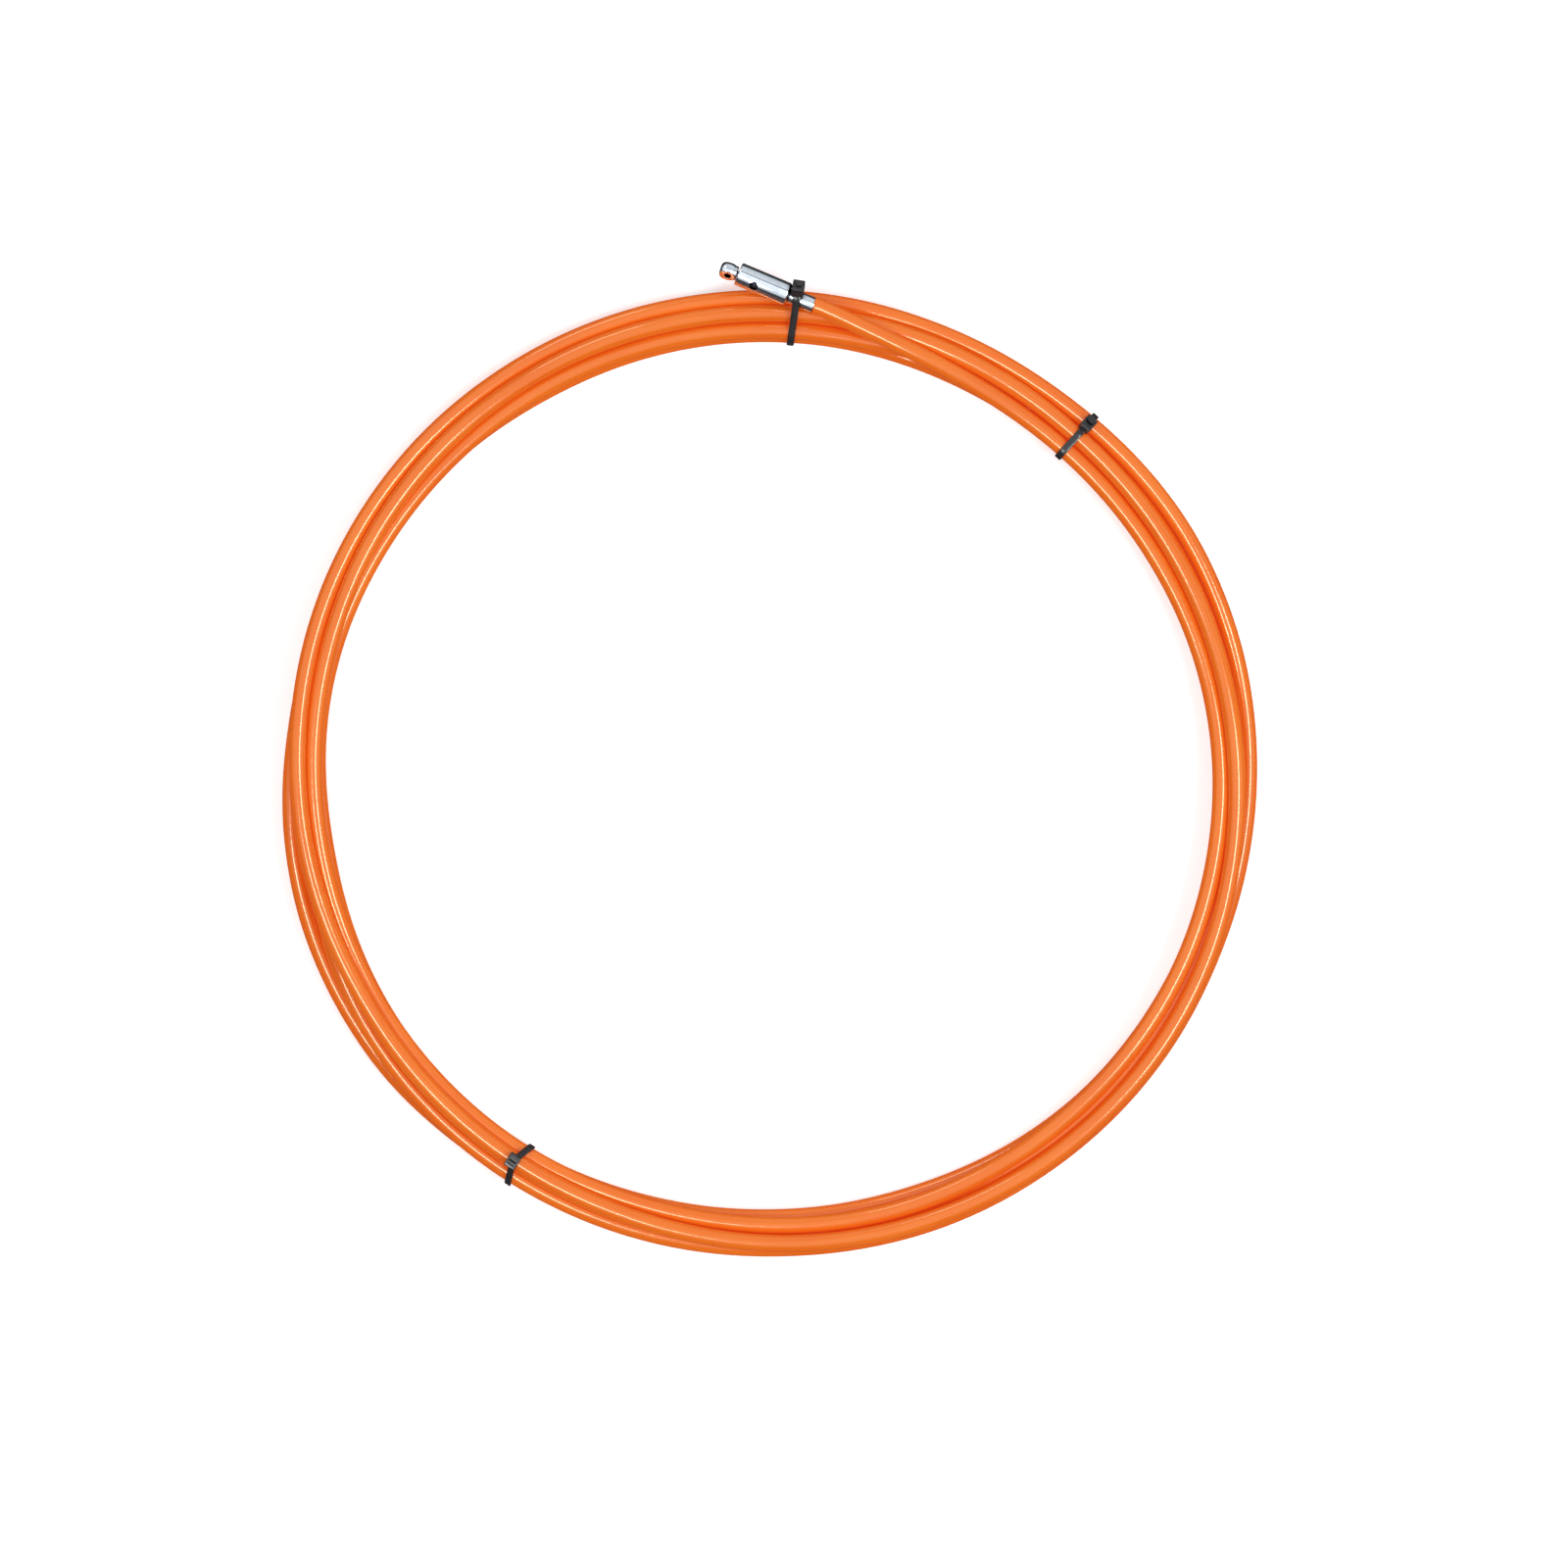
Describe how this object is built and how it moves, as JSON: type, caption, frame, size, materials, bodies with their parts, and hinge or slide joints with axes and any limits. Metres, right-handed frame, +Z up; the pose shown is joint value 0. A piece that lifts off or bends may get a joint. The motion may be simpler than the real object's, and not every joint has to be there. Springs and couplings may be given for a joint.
{
  "type": "fish tape coil",
  "caption": "Flat coil of jacketed push-pull rod for drawing cables through ducts, held by cable ties, with a plated pulling head and swivel eye.",
  "frame": {"origin": "middle of the underside of the coil as it lies flat, head included", "axes": "+Z up out of the surface the coil lies on; +Y from the middle towards the pulling head"},
  "size_m": [0.3398, 0.3468, 0.0235],
  "materials": {
    "orange_jacket": "glossy extruded orange plastic with fine ripples",
    "glass_fibre": "bared resin-bonded glass fibre",
    "plated_metal": "bright nickel plating over turned brass",
    "washer_steel": "plain turned steel",
    "black_nylon": "moulded black nylon"
  },
  "bodies": {
    "coil": {"rod_coil": "orange_jacket", "rod_lead": "orange_jacket", "rod_core_head_end": "glass_fibre", "crimp_ferrule": "plated_metal", "coupling_barrel": "plated_metal", "thrust_washer": "washer_steel", "end_cap": "plated_metal", "rod_core_far_end": "glass_fibre", "cable_tie_1": "black_nylon", "cable_tie_2": "black_nylon", "cable_tie_3": "black_nylon"},
    "swivel": {"swivel_eye": "plated_metal", "retaining_collar": "washer_steel"}
  },
  "joints": [
    {"name": "eye_swivel", "type": "hinge", "parent": "coil", "child": "swivel", "pos_m": [-0.00902, 0.16785, 0.0168], "axis": [-0.9212, 0.3891, 0], "continuous": true}
  ]
}
